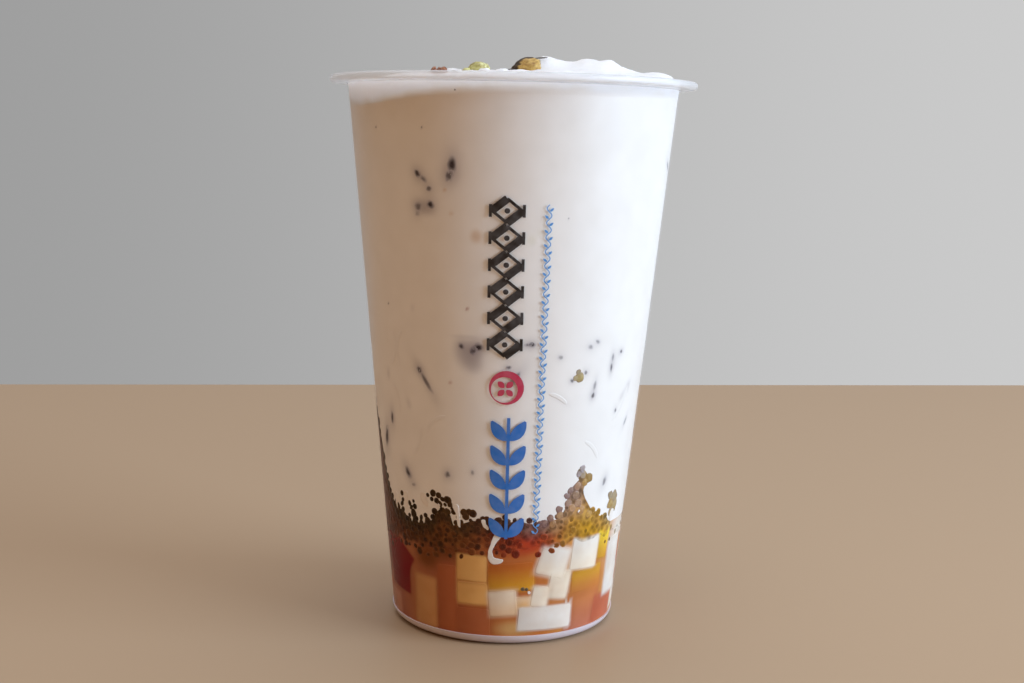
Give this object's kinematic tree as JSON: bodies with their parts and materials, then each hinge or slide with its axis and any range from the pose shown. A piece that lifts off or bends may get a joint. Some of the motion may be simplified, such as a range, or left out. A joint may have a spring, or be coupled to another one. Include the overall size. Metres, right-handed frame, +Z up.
{
  "type": "falooda",
  "caption": "Layered milk dessert drink in a clear tapered cup: jelly blocks at the foot, swollen seeds, a pale milk body and a lumpy cream top with nuts.",
  "frame": {"origin": "centre of the circle on which the cup's foot ring stands", "axes": "+Z up along the cup's axis; the pictured side faces -Y, with +X to its right"},
  "size_m": [0.095, 0.095, 0.1488],
  "materials": {
    "clear_plastic": "clear, slightly milky thin plastic",
    "jelly": "wet translucent jelly in syrup: white, amber, orange and red blocks",
    "basil_seed": "dark seeds in clear gel",
    "milk": "opaque creamy milk, soft satin",
    "cream": "whipped cream and foam, soft and slightly moist",
    "nut": "golden kernel with a dark brown skin"
  },
  "bodies": {
    "root": {"cup": "clear_plastic", "jelly_cubes": "jelly", "basil_seeds": "basil_seed", "milkshake": "milk", "cream_top": "cream", "nut_piece_1": "nut", "nut_piece_2": "nut", "nut_piece_3": "nut"}
  },
  "joints": []
}
